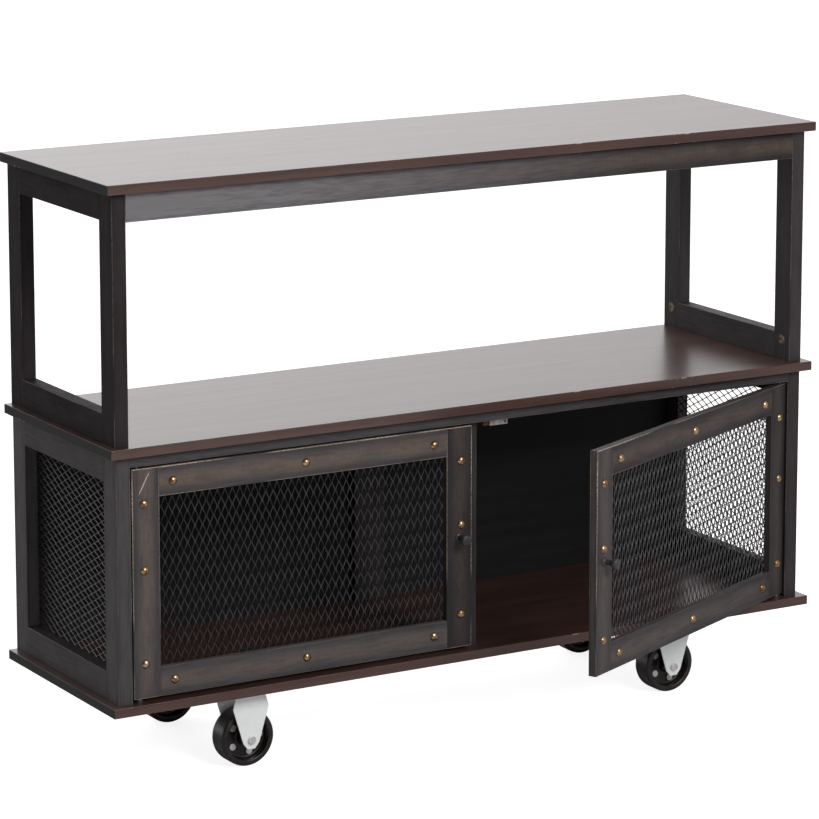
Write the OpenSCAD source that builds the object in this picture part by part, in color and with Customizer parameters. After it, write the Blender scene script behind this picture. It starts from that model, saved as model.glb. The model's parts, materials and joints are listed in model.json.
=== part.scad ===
// Low media stand on fixed casters: three boards carried by painted side frames,
// an open shelf above and a cabinet below with two mesh doors.
// Z = 0 is the floor, X runs along the length, the front faces -Y.

/* [Boards] */
// Length of the three boards
board_length = 1200; // [1100:10:1400]
// Depth of the three boards
board_depth = 355; // [340:5:420]
// Thickness of each board
board_thick = 14; // [12:1:22]
// Clear height of the open shelf
shelf_clear = 359; // [280:1:420]
// Clear height of the cabinet
cabinet_clear = 359; // [280:1:420]
// Distance the boards stand out past the upper posts at each end
end_overhang = 12; // [6:1:25]
// How much further in the cabinet's posts stand than the upper ones, at each end
cabinet_inset = 1.5; // [0:0.5:4]
// Distance the boards stand out past the posts at the front
front_overhang = 13; // [6:1:20]

/* [Frames] */
// Width of a post, along the length of the stand
post_width = 22; // [20:1:26]
// Depth of a post, from front to back
post_depth = 40; // [36:1:50]
// Height of the side rails and aprons
rail_height = 42; // [32:1:46]
// Height of the thin rail above the doors
door_rail_height = 17; // [16:1:24]
// Depth of the thin rail above the doors
door_rail_depth = 30; // [26:1:36]
// Thickness of the cabinet's back panel
back_thick = 4; // [3:1:6]

/* [Doors] */
// Width of each door's frame members
member_width = 43; // [40:1:55]
// Thickness of the doors
door_thick = 12.5; // [12:0.5:15]
// Gap between a door and the post it hangs from
hinge_gap = 2.2; // [2.2:0.1:4]
// Gap between the two closed doors
middle_gap = 11; // [4:1:14]
// Gap under the doors
bottom_gap = 5; // [4:0.5:8]
// Gap over the doors
top_gap = 3; // [2:0.5:5]
// How far the left door stands open
left_open = 0; // [0:1:95]
// How far the right door stands open
right_open = 25.5; // [0:0.5:95]
// Diameter of the dome-headed nails
nail_head = 13; // [9:0.5:14]
// Diameter of the door knobs
knob_head = 17; // [14:1:22]

/* [Casters] */
// Height from the floor to the underside of the lowest board
caster_height = 116; // [105:1:125]
// Diameter of the wheels
wheel_diameter = 85; // [76:1:88]
// Width of the wheels
wheel_width = 35; // [28:1:40]
// Distance from the middle of the stand to a caster, along the length
caster_x = 368; // [300:1:420]
// Distance from the middle of the stand to a caster, front to back
caster_y = 123; // [100:1:130]
// Number of bolts through each wheel
wheel_bolt_count = 5; // [3:1:6]

/* [Hidden] */
$fn = 48;
LEFT = -1;
RIGHT = 1;
FRONT = -1;
REAR = 1;
FITTED = 0.05;      // radial gap round a fixed pin or screw
RUNNING = 0.08;     // radial gap round a turning pin

// Heights of the three boards
bottom_z = caster_height;
bottom_top = bottom_z + board_thick;
middle_z = bottom_top + cabinet_clear;
middle_top = middle_z + board_thick;
top_z = middle_top + shelf_clear;

// Outer and inner faces of the posts: the upper pair, then the cabinet's
post_out = board_length / 2 - end_overhang;
post_in = post_out - post_width;
low_out = post_out - cabinet_inset;
low_in = low_out - post_width;
front_y = -board_depth / 2 + front_overhang;
rear_y = board_depth / 2;
rear_post_y = rear_y - post_depth;

// Cam locks in the feet of the upper posts
cam_r = 7.5;
cam_depth = 11;
cam_height = 32;
cam_slot = 1.6;
cam_bolt_r = 2.5;
cam_bolt_bite = 9;

// Mesh sheets
mesh_thick = 1;
rebate_width = 6;
side_rebate_depth = 3;
door_rebate_depth = 3;

// Back panel and the posts in the middle of the cabinet
groove_depth = 5;
back_y = rear_y - 10;
centre_post_gap = 1.5;
centre_post_depth = 40;
rear_centre_width = 50;
rear_centre_depth = 16;

// Doors, in a frame of their own: x runs from the hanging pin to the latch edge,
// the faces are at -door_thick / 2 and door_thick / 2, z starts at the foot
pin_from_edge = 10;
door_width = low_in - hinge_gap - middle_gap / 2;
door_height = cabinet_clear - door_rail_height - top_gap - bottom_gap;
door_z = bottom_top + bottom_gap;
door_left = -pin_from_edge;
door_right = door_width - pin_from_edge;
pin_x = low_in - hinge_gap - pin_from_edge;
pin_y = front_y + door_thick / 2;
pin_r = 3;
pin_bite = 14;
pin_seat = 8;
collar_r = 6;
collar_gap = 0.2;

// Nails: places on the stiles up from the foot, and on the rails in from the edges
nail_rise = [50.5, 186.5, door_height - 51];
nail_from_side = 64.5;
nail_from_edge = 18.5;
nail_from_end = 22.5;
nail_dome = 4.6;
nail_shank_r = 1;
nail_shank = 8;

// Knobs
knob_from_edge = 21.5;
knob_thick = 9;
knob_neck_r = 4;
knob_neck = 15;
knob_foot_r = 7;
knob_foot = 2;

// Catches and strike plates
catch_length = 42;
catch_height = 11;
catch_depth = 14;
catch_cap = 11;
catch_x = 44;
plate_thick = 1.2;
plate_length = 34;
plate_height = 12;
plate_drop = 2;

// Casters
axle_z = wheel_diameter / 2;
axle_r = 4;
fork_thick = 2.5;
fork_gap = wheel_width + 14;
hub_play = 1;
plate_x = 90;
plate_y = 66;
shoulder_half = 29;
shoulder_drop = 25;
neck_half = 21;
tip_half = 13;
tip_side = 5;
tip_flat = 6;
tip_drop = 14;
screw_x = 36;
screw_y = 27;
screw_r = 2;
screw_bite = 11;
screw_head_r = 4;
screw_head = 2.6;
bolt_head_r = 6;
bolt_head = 4.5;
tread_round = 4;
rim_inner_r = 33;
web_half = 4;
hub_r = 12;
wheel_bolt_circle = 24;
wheel_bolt_turn = -73;
wheel_bolt_r = 2.5;
wheel_bolt_head_r = 5.2;
wheel_bolt_head = 2.5;

// Colours
WALNUT = [0.27, 0.17, 0.14];
BLACK = [0.17, 0.17, 0.18];
BRASS = [0.72, 0.58, 0.32];
ZINC = [0.80, 0.82, 0.82];
RUBBER = [0.12, 0.11, 0.12];

// A block given by its low and high corners
module block(low, high) {
    translate(low) cube(high - low);
}

// A cylinder along Z between two heights
module rod(r, z0, z1) {
    translate([0, 0, z0]) cylinder(r = r, h = z1 - z0);
}

// Turns +Z into -Y, for shapes made by turning about a front-to-back line
module facing_front() {
    rotate([90, 0, 0]) children();
}

// Puts children at each caster's middle, on the floor
module at_casters() {
    for (side = [LEFT, RIGHT], end = [FRONT, REAR])
        translate([side * caster_x, end * caster_y, 0]) children();
}

// Boards

module board(z) {
    translate([-board_length / 2, -board_depth / 2, z])
        cube([board_length, board_depth, board_thick]);
}

module top_board() {
    color(WALNUT) board(top_z);
}

module middle_board() {
    color(WALNUT) difference() {
        board(middle_z);
        at_cams() rod(cam_bolt_r + FITTED, middle_top - cam_bolt_bite, middle_top + 1);
    }
}

module bottom_board() {
    color(WALNUT) difference() {
        board(bottom_z);
        for (side = [LEFT, RIGHT]) translate([side * pin_x, pin_y, 0])
            rod(pin_r + FITTED, bottom_top - pin_seat, bottom_top + 1);
        at_casters() at_screws() rod(screw_r + FITTED, bottom_z - 1, bottom_z + screw_bite);
    }
}

// Upper side frames

// Puts children on each cam lock's upright line
module at_cams() {
    for (side = [LEFT, RIGHT], end = [FRONT, REAR])
        translate([side * (post_in + cam_depth / 2), post_middle(end), 0]) children();
}

function post_middle(end) = end == FRONT ? front_y + post_depth / 2 : rear_y - post_depth / 2;

// One post between two heights, with its outer face at the distance out
module post(side, end, out, z0, z1) {
    x0 = side == LEFT ? -out : out - post_width;
    y0 = end == FRONT ? front_y : rear_post_y;
    translate([x0, y0, z0]) cube([post_width, post_depth, z1 - z0]);
}

// A side rail between the front and rear posts
module side_rail(side, out, z0) {
    x0 = side == LEFT ? -out : out - post_width;
    block([x0, front_y + post_depth, z0], [x0 + post_width, rear_post_y, z0 + rail_height]);
}

// Round pocket for a cam, open on the post's inner face
module cam_pocket(side, end, r, x0, x1) {
    translate([side * x0, post_middle(end), middle_top + cam_height])
        rotate([0, side * 90, 0]) cylinder(r = r, h = x1 - x0);
}

module upper_post(side, end) {
    color(BLACK) difference() {
        post(side, end, post_out, middle_top, top_z);
        cam_pocket(side, end, cam_r + FITTED, post_in - 1, post_in + cam_depth);
        translate([side * (post_in + cam_depth / 2), post_middle(end), 0])
            rod(cam_bolt_r + FITTED, middle_top - 1, middle_top + cam_height);
    }
}

module upper_top_rail(side) {
    color(BLACK) side_rail(side, post_out, top_z - rail_height);
}

module upper_bottom_rail(side) {
    color(BLACK) side_rail(side, post_out, middle_top);
}

module apron(y0) {
    color(BLACK)
        block([-post_in, y0, top_z - rail_height], [post_in, y0 + post_width, top_z]);
}

module upper_front_apron() {
    apron(front_y);
}

module upper_rear_apron() {
    apron(rear_y - post_width);
}

// Cams turned in from the posts' inner faces, each with its bolt up from the board
module cam_locks() {
    color(BRASS) for (side = [LEFT, RIGHT], end = [FRONT, REAR]) {
        difference() {
            cam_pocket(side, end, cam_r, post_in - 0.4, post_in + cam_depth - 0.2);
            translate([side * post_in, post_middle(end), middle_top + cam_height])
                cube([3, 2 * cam_r - 4, cam_slot], center = true);
        }
        translate([side * (post_in + cam_depth / 2), post_middle(end), 0])
            rod(cam_bolt_r, middle_top - cam_bolt_bite, middle_top + cam_height - cam_r);
    }
}

// Lower side frames, rebated on the inside for the mesh sheets

// The pocket that a side mesh lies in
module side_mesh_pocket(side) {
    x0 = side == LEFT ? -low_in - side_rebate_depth : low_in - 1;
    block([x0, front_y + post_depth - rebate_width, bottom_top + rail_height - rebate_width],
          [x0 + side_rebate_depth + 1, rear_post_y + rebate_width,
           middle_z - rail_height + rebate_width]);
}

// The groove that the back panel's edge stands in
module back_groove(side) {
    x0 = side == LEFT ? -low_in - groove_depth : low_in - 1;
    block([x0, back_y - back_thick, bottom_top - 1],
          [x0 + groove_depth + 1, back_y, middle_z + 1]);
}

module lower_front_post(side) {
    color(BLACK) difference() {
        post(side, FRONT, low_out, bottom_top, middle_z);
        side_mesh_pocket(side);
    }
}

module lower_rear_post(side) {
    color(BLACK) difference() {
        post(side, REAR, low_out, bottom_top, middle_z);
        side_mesh_pocket(side);
        back_groove(side);
    }
}

module lower_rail(side, z0) {
    color(BLACK) difference() {
        side_rail(side, low_out, z0);
        side_mesh_pocket(side);
    }
}

module lower_top_rail(side) {
    lower_rail(side, middle_z - rail_height);
}

module lower_bottom_rail(side) {
    lower_rail(side, bottom_top);
}

module side_mesh(side) {
    x1 = low_in + side_rebate_depth;
    color(BLACK)
        translate([side == LEFT ? -x1 : x1 - mesh_thick, front_y + post_depth - rebate_width,
                   bottom_top + rail_height - rebate_width])
            cube([mesh_thick, rear_post_y - front_y - post_depth + 2 * rebate_width,
                  cabinet_clear - 2 * rail_height + 2 * rebate_width]);
}

// Cabinet front and back

module front_door_rail() {
    color(BLACK) difference() {
        block([-low_in, front_y, middle_z - door_rail_height],
              [low_in, front_y + door_rail_depth, middle_z]);
        for (side = [LEFT, RIGHT]) translate([side * pin_x, pin_y, 0])
            rod(pin_r + FITTED, middle_z - door_rail_height - 1,
                middle_z - door_rail_height + pin_bite);
    }
}

module front_centre_post() {
    y0 = front_y + door_thick + centre_post_gap;
    color(BLACK)
        block([-post_width / 2, y0, bottom_top],
              [post_width / 2, y0 + centre_post_depth, middle_z - door_rail_height]);
}

module back_panel() {
    color(WALNUT)
        block([-low_in - groove_depth, back_y - back_thick, bottom_top],
              [low_in + groove_depth, back_y, middle_z]);
}

module rear_centre_post() {
    y1 = back_y - back_thick;
    color(BLACK)
        block([-rear_centre_width / 2, y1 - rear_centre_depth, bottom_top],
              [rear_centre_width / 2, y1, middle_z]);
}

// Doors

// Hangs children, drawn in a door's own frame, on the pins of one side
module hang(side) {
    turn = side == LEFT ? -left_open : right_open;
    translate([side * pin_x, pin_y, door_z]) rotate([0, 0, turn])
        if (side == RIGHT) mirror([1, 0, 0]) children();
        else children();
}

// The opening that the door's mesh fills, with its rebate at the back
module door_mesh_pocket() {
    inset = member_width - rebate_width;
    block([door_left + inset, door_thick / 2 - door_rebate_depth, inset],
          [door_right - inset, door_thick / 2 + 1, door_height - inset]);
}

// Puts children at every nail, on the door's front face
module at_nails() {
    for (z = nail_rise, x = [door_left + nail_from_edge, door_right - nail_from_edge])
        translate([x, -door_thick / 2, z]) children();
    for (z = [nail_from_end, door_height - nail_from_end],
         x = [door_left + nail_from_side, (door_left + door_right) / 2,
              door_right - nail_from_side])
        translate([x, -door_thick / 2, z]) children();
}

module nail_holes() {
    at_nails() facing_front() rod(nail_shank_r + FITTED, -nail_shank, 1);
}

module hinge_stile(side) {
    color(BLACK) hang(side) difference() {
        block([door_left, -door_thick / 2, 0],
              [door_left + member_width, door_thick / 2, door_height]);
        door_mesh_pocket();
        nail_holes();
        rod(pin_r + RUNNING, -1, pin_bite + 1);
        rod(pin_r + RUNNING, door_height - pin_bite - 1, door_height + 1);
    }
}

module latch_stile(side) {
    color(BLACK) hang(side) difference() {
        block([door_right - member_width, -door_thick / 2, 0],
              [door_right, door_thick / 2, door_height]);
        door_mesh_pocket();
        nail_holes();
    }
}

module door_rail(side, z0) {
    color(BLACK) hang(side) difference() {
        block([door_left + member_width, -door_thick / 2, z0],
              [door_right - member_width, door_thick / 2, z0 + member_width]);
        door_mesh_pocket();
        nail_holes();
    }
}

module door_top_rail(side) {
    door_rail(side, door_height - member_width);
}

module door_bottom_rail(side) {
    door_rail(side, 0);
}

module door_mesh(side) {
    inset = member_width - rebate_width;
    y0 = door_thick / 2 - door_rebate_depth;
    color(BLACK) hang(side)
        block([door_left + inset, y0, inset],
              [door_right - inset, y0 + mesh_thick, door_height - inset]);
}

// A dome that meets its face in a circle, on a plain shank
module nail() {
    sphere_r = (pow(nail_head / 2, 2) + pow(nail_dome, 2)) / (2 * nail_dome);
    facing_front() {
        intersection() {
            translate([0, 0, nail_dome - sphere_r]) sphere(r = sphere_r);
            rod(nail_head, 0, nail_dome + 1);
        }
        rod(nail_shank_r, -nail_shank + 0.5, 0.5);
    }
}

module door_nails(side) {
    color(BRASS) hang(side) at_nails() nail();
}

// A flat round knob with a soft edge, on a neck and a foot
module door_knob(side) {
    edge_r = knob_thick / 2;
    color(BLACK) hang(side)
        translate([door_right - knob_from_edge, -door_thick / 2, door_height / 2])
            facing_front() {
                rod(knob_foot_r, 0, knob_foot);
                rod(knob_neck_r, 0, knob_neck);
                translate([0, 0, knob_neck]) rotate_extrude() {
                    square([knob_head / 2 - edge_r, knob_thick]);
                    translate([knob_head / 2 - edge_r, edge_r]) intersection() {
                        circle(r = edge_r);
                        translate([0, -edge_r]) square([edge_r, 2 * edge_r]);
                    }
                }
            }
}

// Steel plate on the back of the door, facing the catch's magnet
module door_strike_plate(side) {
    middle = pin_x - catch_x;
    color(ZINC) hang(side)
        block([middle - plate_length / 2, door_thick / 2, door_height - plate_drop - plate_height],
              [middle + plate_length / 2, door_thick / 2 + plate_thick,
               door_height - plate_drop]);
}

// Pins that the doors turn on: a collared one in the board, a plain one in the rail
module door_hanging_pins() {
    rail_z = middle_z - door_rail_height;
    color(ZINC) for (side = [LEFT, RIGHT]) translate([side * pin_x, pin_y, 0]) {
        rod(pin_r, bottom_top - pin_seat, door_z + pin_bite);
        rod(collar_r, bottom_top, door_z - collar_gap);
        rod(pin_r, rail_z - top_gap - pin_bite, rail_z + pin_bite);
    }
}

// Magnetic catches under the door rail: a steel-faced case with an end cap
module magnetic_catches() {
    y0 = front_y + door_thick + centre_post_gap;
    z1 = middle_z - door_rail_height;
    for (side = [LEFT, RIGHT]) {
        x0 = side * catch_x - catch_length / 2;
        color(ZINC)
            block([x0 + catch_cap, y0, z1 - catch_height],
                  [x0 + catch_length, y0 + catch_depth, z1]);
        color(WALNUT)
            block([x0, y0 + 1, z1 - catch_height + 1], [x0 + catch_cap, y0 + catch_depth, z1]);
    }
}

// Casters

module at_screws() {
    for (x = [-screw_x, screw_x], y = [-screw_y, screw_y]) translate([x, y, 0]) children();
}

// Outline of one fork leg about the axle: neck, shoulders and a blunt tip
module leg_outline() {
    top = caster_height - axle_z;
    shoulder = top - shoulder_drop;
    polygon([[-neck_half, top], [-shoulder_half, shoulder], [-tip_half, -tip_side],
             [-tip_flat, -tip_drop], [tip_flat, -tip_drop], [tip_half, -tip_side],
             [shoulder_half, shoulder], [neck_half, top]]);
}

// Bent steel fork: a screw plate and two legs, each bored for the axle
module fork(side, end) {
    color(ZINC) translate([side * caster_x, end * caster_y, 0]) difference() {
        union() {
            translate([-plate_x / 2, -plate_y / 2, caster_height - fork_thick])
                cube([plate_x, plate_y, fork_thick]);
            for (leg = [-1, 1])
                translate([0, leg * (fork_gap + fork_thick) / 2 + fork_thick / 2, axle_z])
                    facing_front() linear_extrude(height = fork_thick) leg_outline();
        }
        at_screws() rod(screw_r + 0.3, caster_height - fork_thick - 1, caster_height + 1);
        translate([0, plate_y / 2, axle_z]) facing_front() rod(axle_r + FITTED, 0, plate_y);
    }
}

// Half of the wheel's section, out from the axle line: hub, web and round-edged rim
module wheel_section() {
    tread = wheel_diameter / 2;
    flat_half = wheel_width / 2 - tread_round;
    hub_half = fork_gap / 2 - hub_play;
    translate([axle_r + RUNNING, -hub_half])
        square([hub_r - axle_r - RUNNING, 2 * hub_half]);
    translate([hub_r - 1, -web_half]) square([rim_inner_r - hub_r + 2, 2 * web_half]);
    translate([rim_inner_r, -wheel_width / 2])
        square([tread - tread_round - rim_inner_r, wheel_width]);
    translate([rim_inner_r, -flat_half]) square([tread - rim_inner_r, 2 * flat_half]);
    for (half = [-1, 1])
        translate([tread - tread_round, half * flat_half]) circle(r = tread_round);
}

// Puts children at each of one wheel's bolts, along the wheel's own axis
module at_wheel_bolts() {
    for (i = [0:wheel_bolt_count - 1])
        rotate([0, 0, wheel_bolt_turn + i * 360 / wheel_bolt_count])
            translate([wheel_bolt_circle, 0, 0]) children();
}

module at_axle(side, end) {
    translate([side * caster_x, end * caster_y, axle_z]) facing_front() children();
}

module wheel(side, end) {
    color(RUBBER) at_axle(side, end) difference() {
        rotate_extrude() wheel_section();
        at_wheel_bolts() rod(wheel_bolt_r + FITTED, -web_half - 1, web_half + 1);
    }
}

module wheel_bolts(side, end) {
    color(ZINC) at_axle(side, end) at_wheel_bolts() {
        rod(wheel_bolt_r, -web_half - 1, web_half + 1);
        rod(wheel_bolt_head_r, web_half, web_half + wheel_bolt_head);
        rod(wheel_bolt_head_r, -web_half - wheel_bolt_head, -web_half);
    }
}

// Axle bolts: a round head at the front of each fork and a six-sided nut at the back
module caster_axles() {
    leg_face = fork_gap / 2 + fork_thick;
    color(ZINC) for (side = [LEFT, RIGHT], end = [FRONT, REAR]) at_axle(side, end) {
        rod(axle_r, -leg_face - bolt_head - 2, leg_face + 1);
        rod(bolt_head_r, leg_face, leg_face + bolt_head - 1);
        translate([0, 0, -leg_face - bolt_head]) cylinder(r = bolt_head_r, h = bolt_head, $fn = 6);
    }
}

module caster_screws() {
    color(ZINC) at_casters() at_screws() {
        rod(screw_r, caster_height - fork_thick, caster_height + screw_bite - 0.5);
        rod(screw_head_r, caster_height - fork_thick - screw_head, caster_height - fork_thick);
    }
}

top_board();
middle_board();
bottom_board();
upper_post(LEFT, FRONT);  // upper_left_front_post
upper_post(LEFT, REAR);  // upper_left_rear_post
upper_post(RIGHT, FRONT);  // upper_right_front_post
upper_post(RIGHT, REAR);  // upper_right_rear_post
upper_top_rail(LEFT);  // upper_left_top_rail
upper_bottom_rail(LEFT);  // upper_left_bottom_rail
upper_top_rail(RIGHT);  // upper_right_top_rail
upper_bottom_rail(RIGHT);  // upper_right_bottom_rail
upper_front_apron();
upper_rear_apron();
lower_front_post(LEFT);  // lower_left_front_post
lower_rear_post(LEFT);  // lower_left_rear_post
lower_front_post(RIGHT);  // lower_right_front_post
lower_rear_post(RIGHT);  // lower_right_rear_post
lower_top_rail(LEFT);  // lower_left_top_rail
lower_bottom_rail(LEFT);  // lower_left_bottom_rail
lower_top_rail(RIGHT);  // lower_right_top_rail
lower_bottom_rail(RIGHT);  // lower_right_bottom_rail
side_mesh(LEFT);  // left_side_mesh
side_mesh(RIGHT);  // right_side_mesh
front_door_rail();
front_centre_post();
back_panel();
rear_centre_post();
hinge_stile(LEFT);  // left_door_hinge_stile
latch_stile(LEFT);  // left_door_latch_stile
door_top_rail(LEFT);  // left_door_top_rail
door_bottom_rail(LEFT);  // left_door_bottom_rail
door_mesh(LEFT);  // left_door_mesh
door_nails(LEFT);  // left_door_nails
door_knob(LEFT);  // left_door_knob
door_strike_plate(LEFT);  // left_door_strike_plate
hinge_stile(RIGHT);  // right_door_hinge_stile
latch_stile(RIGHT);  // right_door_latch_stile
door_top_rail(RIGHT);  // right_door_top_rail
door_bottom_rail(RIGHT);  // right_door_bottom_rail
door_mesh(RIGHT);  // right_door_mesh
door_nails(RIGHT);  // right_door_nails
door_knob(RIGHT);  // right_door_knob
door_strike_plate(RIGHT);  // right_door_strike_plate
door_hanging_pins();
magnetic_catches();
cam_locks();
fork(LEFT, FRONT);  // front_left_fork
fork(RIGHT, FRONT);  // front_right_fork
fork(LEFT, REAR);  // rear_left_fork
fork(RIGHT, REAR);  // rear_right_fork
wheel(LEFT, FRONT);  // front_left_wheel
wheel(RIGHT, FRONT);  // front_right_wheel
wheel(LEFT, REAR);  // rear_left_wheel
wheel(RIGHT, REAR);  // rear_right_wheel
wheel_bolts(LEFT, FRONT);  // front_left_wheel_bolts
wheel_bolts(RIGHT, FRONT);  // front_right_wheel_bolts
wheel_bolts(LEFT, REAR);  // rear_left_wheel_bolts
wheel_bolts(RIGHT, REAR);  // rear_right_wheel_bolts
caster_axles();
caster_screws();
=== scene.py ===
import json
import math

import bmesh
import bpy
from mathutils import Matrix, Vector


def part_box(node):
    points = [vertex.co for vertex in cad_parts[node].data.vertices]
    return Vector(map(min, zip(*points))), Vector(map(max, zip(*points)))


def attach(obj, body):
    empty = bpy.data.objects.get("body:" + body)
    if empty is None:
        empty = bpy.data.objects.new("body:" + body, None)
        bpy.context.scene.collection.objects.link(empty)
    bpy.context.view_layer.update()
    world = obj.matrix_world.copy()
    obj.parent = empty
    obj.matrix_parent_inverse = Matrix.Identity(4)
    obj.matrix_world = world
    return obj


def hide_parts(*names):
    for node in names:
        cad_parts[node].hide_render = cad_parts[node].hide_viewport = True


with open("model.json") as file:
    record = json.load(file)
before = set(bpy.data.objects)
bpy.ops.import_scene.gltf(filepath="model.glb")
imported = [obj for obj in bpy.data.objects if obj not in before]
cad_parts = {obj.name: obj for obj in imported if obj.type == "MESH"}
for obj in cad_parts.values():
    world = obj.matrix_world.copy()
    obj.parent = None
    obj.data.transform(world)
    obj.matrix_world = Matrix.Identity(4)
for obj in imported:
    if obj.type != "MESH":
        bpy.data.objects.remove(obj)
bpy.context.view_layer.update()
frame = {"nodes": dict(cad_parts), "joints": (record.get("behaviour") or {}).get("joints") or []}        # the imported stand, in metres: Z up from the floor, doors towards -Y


# BOARDS
# Three lengths of 14 mm board faced in dark walnut laminate, semi-gloss, with the
# edges banded in the same laminate and eased by hand. They carry the whole stand.

BOARD_EASE = 0.0008
LONGEST_SMALL_EDGE = 0.008      # hole rims are made of shorter edges than this, and stay sharp
WELD = 1e-6                     # points closer together than this are one point
FLAT = math.radians(1)          # faces that turn less than this are one face
SHARP = math.radians(40)        # edges that turn at least this much are eased
CREASE = math.radians(50)       # edges that turn at least this much are shaded as creases
BUTTED_END = 0.02               # added past an end that meets a neighbour, to keep wear off it
STILL = Matrix.Identity(4)


def merged_copy(node):
    """A copy of a CAD piece with its triangles joined up into whole faces."""
    bm = bmesh.new()
    bm.from_mesh(frame["nodes"][node].data)
    bmesh.ops.remove_doubles(bm, verts=bm.verts, dist=WELD)
    bmesh.ops.dissolve_limit(bm, angle_limit=FLAT, verts=bm.verts, edges=bm.edges)
    return bm


def ease(bm, radius, over=LONGEST_SMALL_EDGE, along=None):
    """Rounds the sharp outer edges that are longer than over, or just those along one way."""
    chosen = []
    for edge in bm.edges:
        if len(edge.link_faces) != 2 or not edge.is_convex or edge.calc_length() <= over:
            continue
        if edge.calc_face_angle(0) < SHARP:
            continue
        run = (edge.verts[1].co - edge.verts[0].co).normalized()
        if along is None or abs(run.dot(along)) > 0.99:
            chosen.append(edge)
    bmesh.ops.bevel(bm, geom=chosen, offset=radius, offset_type="OFFSET", segments=2,
                    profile=0.5, affect="EDGES", clamp_overlap=True, material=-1)


def box_of(points):
    """The low and the high corner of the box round some points."""
    return [Vector([pick(p[i] for p in points) for i in range(3)]) for pick in (min, max)]


def new_object(name, data):
    """A new object in the scene, at the origin."""
    made = bpy.data.objects.new(name, data)
    bpy.context.scene.collection.objects.link(made)
    return made


def add_piece(name, bm, material, body, slot, *nodes):
    """Makes the piece, hangs it on its body, and hides the CAD pieces that it stands for."""
    bmesh.ops.recalc_face_normals(bm, faces=bm.faces)
    for face in bm.faces:
        face.smooth = True
    for edge in bm.edges:
        edge.smooth = edge.calc_face_angle(0) < CREASE
    mesh = bpy.data.meshes.new(name)
    bm.to_mesh(mesh)
    bm.free()
    mesh.materials.append(material)
    piece = new_object(name, mesh)
    piece.modifiers.new("even_shading", "WEIGHTED_NORMAL").keep_sharp = True
    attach(piece, body)
    if nodes:
        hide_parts(*nodes)


def mark_place(bm, order, at_rest=STILL, outward=1, loose_ends=True,
               tones=((0, 0, 0), (0, 0, 0))):
    """Writes each point's place from the middle of its member: along it, across it, through it.
    half is the member's half size the same way, and tone the paint's rub and painted shade at that
    point, which runs from the first of tones at one end to the second at the other."""
    for layer in ("place", "half", "tone"):
        bm.verts.layers.float_vector.new(layer)
    place, size, tone = [bm.verts.layers.float_vector[n] for n in ("place", "half", "tone")]
    points = {v: at_rest.inverted() @ v.co for v in bm.verts}
    low, high = box_of(points.values())
    middle, half = (low + high) / 2, (high - low) / 2
    past_end = 0 if loose_ends else BUTTED_END
    for v, point in points.items():
        local = point - middle
        v[place] = (local[order[0]], outward * local[order[1]], local[order[2]])
        v[size] = (half[order[0]] + past_end, half[order[1]], half[order[2]])
        share = 0.5 + 0.5 * local[order[0]] / half[order[0]]
        v[tone] = Vector(tones[0]).lerp(Vector(tones[1]), share)


def wire(tree, kind, values=(), **settings):
    """A new node: settings on the node itself, and for each input a value or what feeds it."""
    made = tree.nodes.new(kind)
    for name, value in settings.items():
        setattr(made, name, value)
    for key, value in values.items() if isinstance(values, dict) else enumerate(values):
        if isinstance(value, bpy.types.NodeSocket):
            tree.links.new(value, made.inputs[key])
        else:
            made.inputs[key].default_value = value
    return made.outputs


def reckon(tree, operation, *values, clamp=False):
    """One step of arithmetic on numbers."""
    return wire(tree, "ShaderNodeMath", values, operation=operation, use_clamp=clamp)[0]


def reckon_vector(tree, operation, *values):
    """One step of arithmetic on vectors."""
    return wire(tree, "ShaderNodeVectorMath", values, operation=operation)[0]


def between(tree, value, low, high, start=0.0, end=1.0):
    """A soft step from start to end as the value goes from low to high."""
    return wire(tree, "ShaderNodeMapRange", (value, low, high, start, end),
                interpolation_type="SMOOTHSTEP")[0]


def speckle(tree, place, scales, detail=4.0, roughness=0.55, shift=(0, 0, 0), distortion=0.0):
    """Noise with its own number of grains per metre along, across and through."""
    stretched = reckon_vector(tree, "MULTIPLY_ADD", place, scales, shift)
    return wire(tree, "ShaderNodeTexNoise",
                {"Vector": stretched, "Scale": 1.0, "Detail": detail, "Roughness": roughness,
                 "Distortion": distortion})[0]


# a Mix node has a socket of each name for every kind of data, so its colours go by number
MIX_FACTOR, MIX_FIRST, MIX_SECOND, MIX_RESULT = 0, 6, 7, 2


def blended(tree, factor, first, second):
    """The first colour, turning into the second as the factor goes from 0 to 1."""
    return wire(tree, "ShaderNodeMix", {MIX_FACTOR: factor, MIX_FIRST: first, MIX_SECOND: second},
                data_type="RGBA")[MIX_RESULT]


def parts_of(tree, vector):
    """A vector's three numbers."""
    return wire(tree, "ShaderNodeSeparateXYZ", (vector,))


def shared_effect(name, inputs, outputs):
    """An empty shader node group with named sockets."""
    tree = bpy.data.node_groups.new(name, "ShaderNodeTree")
    for socket, kind in inputs.items():
        tree.interface.new_socket(socket, in_out="INPUT", socket_type="NodeSocket" + kind)
    for socket, kind in outputs.items():
        tree.interface.new_socket(socket, in_out="OUTPUT", socket_type="NodeSocket" + kind)
    return tree, tree.nodes.new("NodeGroupInput").outputs, tree.nodes.new("NodeGroupOutput").inputs


FINISH = {"Colour": "Color", "Roughness": "Float", "Height": "Float"}


def edge_lines():
    """How far a point is from its member's long edges, from its ends' edges and from its ends."""
    tree, given, out = shared_effect(
        "distance from the edges", {"Place": "Vector", "Half": "Vector"},
        {"Long": "Float", "End": "Float", "Tip": "Float"})
    size = reckon_vector(tree, "ABSOLUTE", given["Place"])
    gap = parts_of(tree, reckon_vector(tree, "SUBTRACT", given["Half"], size))
    tree.links.new(reckon(tree, "MAXIMUM", gap[1], gap[2]), out["Long"])
    tree.links.new(reckon(tree, "MAXIMUM", gap[0], gap[2]), out["End"])
    tree.links.new(gap[0], out["Tip"])
    return tree


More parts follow.
